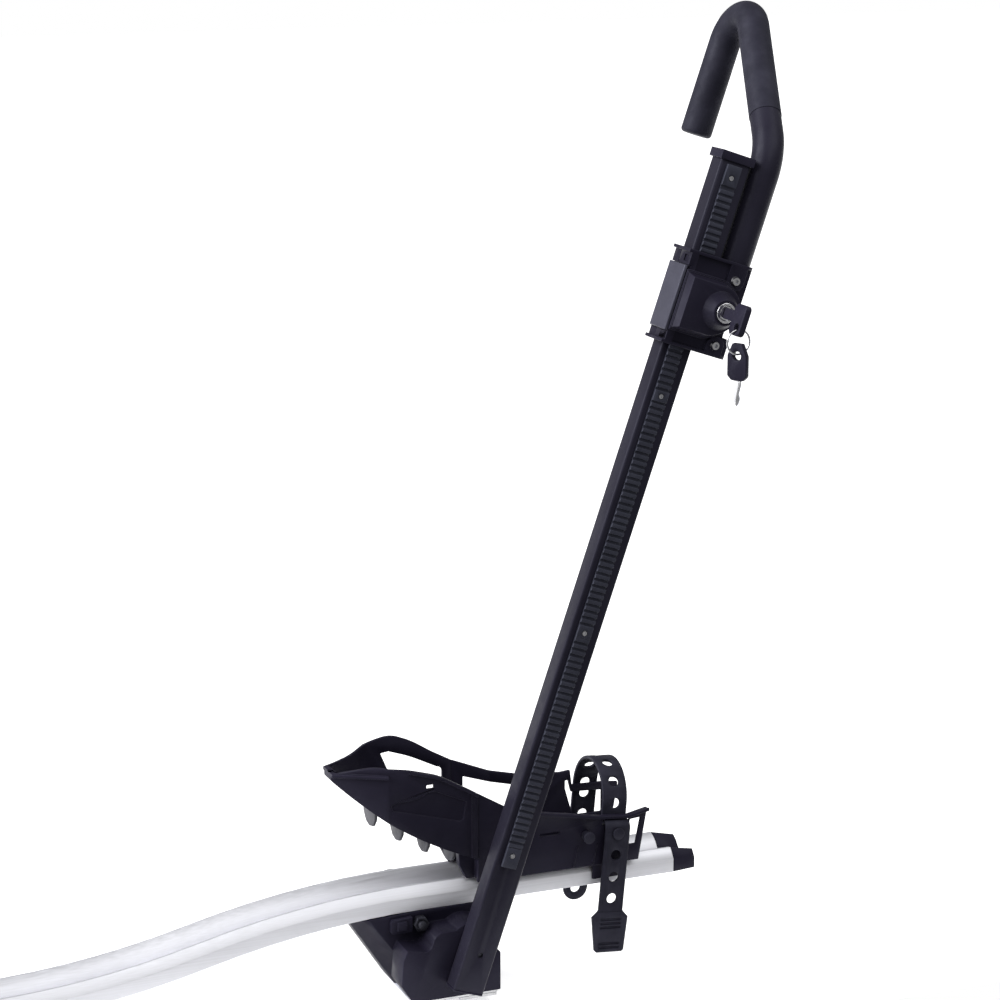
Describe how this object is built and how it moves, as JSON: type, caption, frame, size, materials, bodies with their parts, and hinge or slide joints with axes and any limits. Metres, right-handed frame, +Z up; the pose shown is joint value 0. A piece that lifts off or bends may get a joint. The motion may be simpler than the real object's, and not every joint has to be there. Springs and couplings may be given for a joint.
{
  "type": "roof bike carrier",
  "caption": "Upright bicycle carrier for roof bars: twin rails with a moulded wheel cradle and strap, a folding mast, and a sliding frame hook with a lock.",
  "frame": {"origin": "centre of the front foot's underside, on the top of the front roof bar", "axes": "+X along the rails towards the front, +Z up, the mast stands at -Y"},
  "size_m": [1.501, 0.2558, 0.9039],
  "materials": {
    "aluminium": "satin",
    "black_plastic": "moulded",
    "grey_plastic": "moulded",
    "lever_plastic": "moulded",
    "black_rubber": "matte",
    "mast_paint": "satin powder coat",
    "rack_metal": "dark",
    "plate_steel": "zinc plated",
    "lock_chrome": "polished"
  },
  "bodies": {
    "frame": {"near_rail": "aluminium", "far_rail": "aluminium", "near_front_cap": "black_plastic", "far_front_cap": "black_plastic", "near_rear_cap": "black_plastic", "far_rear_cap": "black_plastic", "front_foot": "black_plastic", "upper_foot_plate": "plate_steel", "lower_foot_plate": "plate_steel", "front_t_bolts": "plate_steel", "pivot_pin": "plate_steel", "pivot_washer": "grey_plastic", "clamp_nut": "plate_steel", "clamp_block": "grey_plastic", "cradle_wing": "black_plastic", "cradle_block": "black_plastic", "wheel_pad": "grey_plastic", "strap_pegs": "black_plastic", "wheel_strap": "black_rubber"},
    "mast": {"mast_tube": "mast_paint", "mast_bush": "grey_plastic", "mast_cap": "black_plastic", "mast_foot": "black_plastic", "rack_strip": "rack_metal", "rack_screws": "plate_steel"},
    "hook": {"hook_tube": "mast_paint", "hook_sleeve": "black_rubber", "slider_back": "black_plastic", "slider_front": "black_plastic", "slider_screws": "plate_steel", "lock_barrel": "lock_chrome", "lever_pin": "plate_steel"},
    "lever": {"release_lever": "lever_plastic"},
    "pawl": {"pawl": "rack_metal"},
    "key": {"lock_plug": "lock_chrome", "key_head": "black_plastic", "key_blade": "lock_chrome"},
    "ring": {"key_ring": "lock_chrome"},
    "spare_key": {"spare_key_head": "black_plastic", "spare_key_blade": "lock_chrome"},
    "front_knob": {"clamp_knob": "black_plastic", "clamp_rod": "plate_steel"},
    "rear_foot": {"rear_foot": "black_plastic", "rear_upper_plate": "plate_steel", "rear_lower_plate": "plate_steel", "rail_bolts": "plate_steel", "rear_near_bolt": "plate_steel", "rear_far_bolt": "plate_steel", "rear_nuts": "plate_steel"},
    "rear_knob": {"rear_knob": "black_plastic"},
    "rear_tray": {"rear_tray": "black_plastic", "ladder_strap": "lever_plastic", "strap_rivet": "black_plastic", "buckle_base": "black_plastic", "buckle_pin": "plate_steel"},
    "buckle_lever": {"buckle_lever": "black_plastic"}
  },
  "joints": [
    {"name": "mast_fold", "type": "hinge", "parent": "frame", "child": "mast", "pos_m": [0.0174, -0.072, 0.0525], "axis": [0, -1, 0], "range_deg": [0, 102.5]},
    {"name": "hook_slide", "type": "slide", "parent": "mast", "child": "hook", "axis": [0.3247, 0, 0.9458], "range_m": [-0.23, 0.045]},
    {"name": "release_lever", "type": "hinge", "parent": "hook", "child": "lever", "pos_m": [0.19353, -0.072, 0.62429], "axis": [0, 1, 0], "range_deg": [0, 2.4], "stiffness_Nm_per_rad": 1, "springref_deg": -5.73},
    {"name": "pawl_slide", "type": "slide", "parent": "hook", "child": "pawl", "axis": [0, -1, 0], "range_m": [0, 0.003]},
    {"name": "key_turn", "type": "hinge", "parent": "hook", "child": "key", "pos_m": [0.23581, -0.119, 0.6378], "axis": [0, -1, 0], "range_deg": [0, 90]},
    {"name": "key_ring_swing", "type": "hinge", "parent": "key", "child": "ring", "pos_m": [0.23289, -0.1501, 0.62968], "axis": [1, 0, 0], "range_deg": [-25, 25]},
    {"name": "spare_key_swing", "type": "hinge", "parent": "ring", "child": "spare_key", "pos_m": [0.23289, -0.1501, 0.60488], "axis": [1, 0, 0], "range_deg": [-15, 15]},
    {"name": "front_knob_turn", "type": "hinge", "parent": "frame", "child": "front_knob", "pos_m": [-0.0235, 0.042, 0.0725], "axis": [0, 1, 0], "continuous": true},
    {"name": "rear_foot_slide", "type": "slide", "parent": "frame", "child": "rear_foot", "axis": [1, 0, 0], "range_m": [-0.15, 0.15]},
    {"name": "rear_knob_turn", "type": "hinge", "parent": "rear_foot", "child": "rear_knob", "pos_m": [-0.66, 0.052, 0.034], "axis": [0, 0, 1], "continuous": true},
    {"name": "rear_tray_slide", "type": "slide", "parent": "frame", "child": "rear_tray", "axis": [1, 0, 0], "range_m": [-0.13, 0.24]},
    {"name": "buckle_lever_swing", "type": "hinge", "parent": "rear_tray", "child": "buckle_lever", "pos_m": [-0.925, 0.044, 0.076], "axis": [-1, 0, 0], "range_deg": [0, 60]}
  ],
  "couplings": [
    {"joint": "pawl_slide", "follows": "release_lever", "m_per_rad": 0.070904}
  ]
}
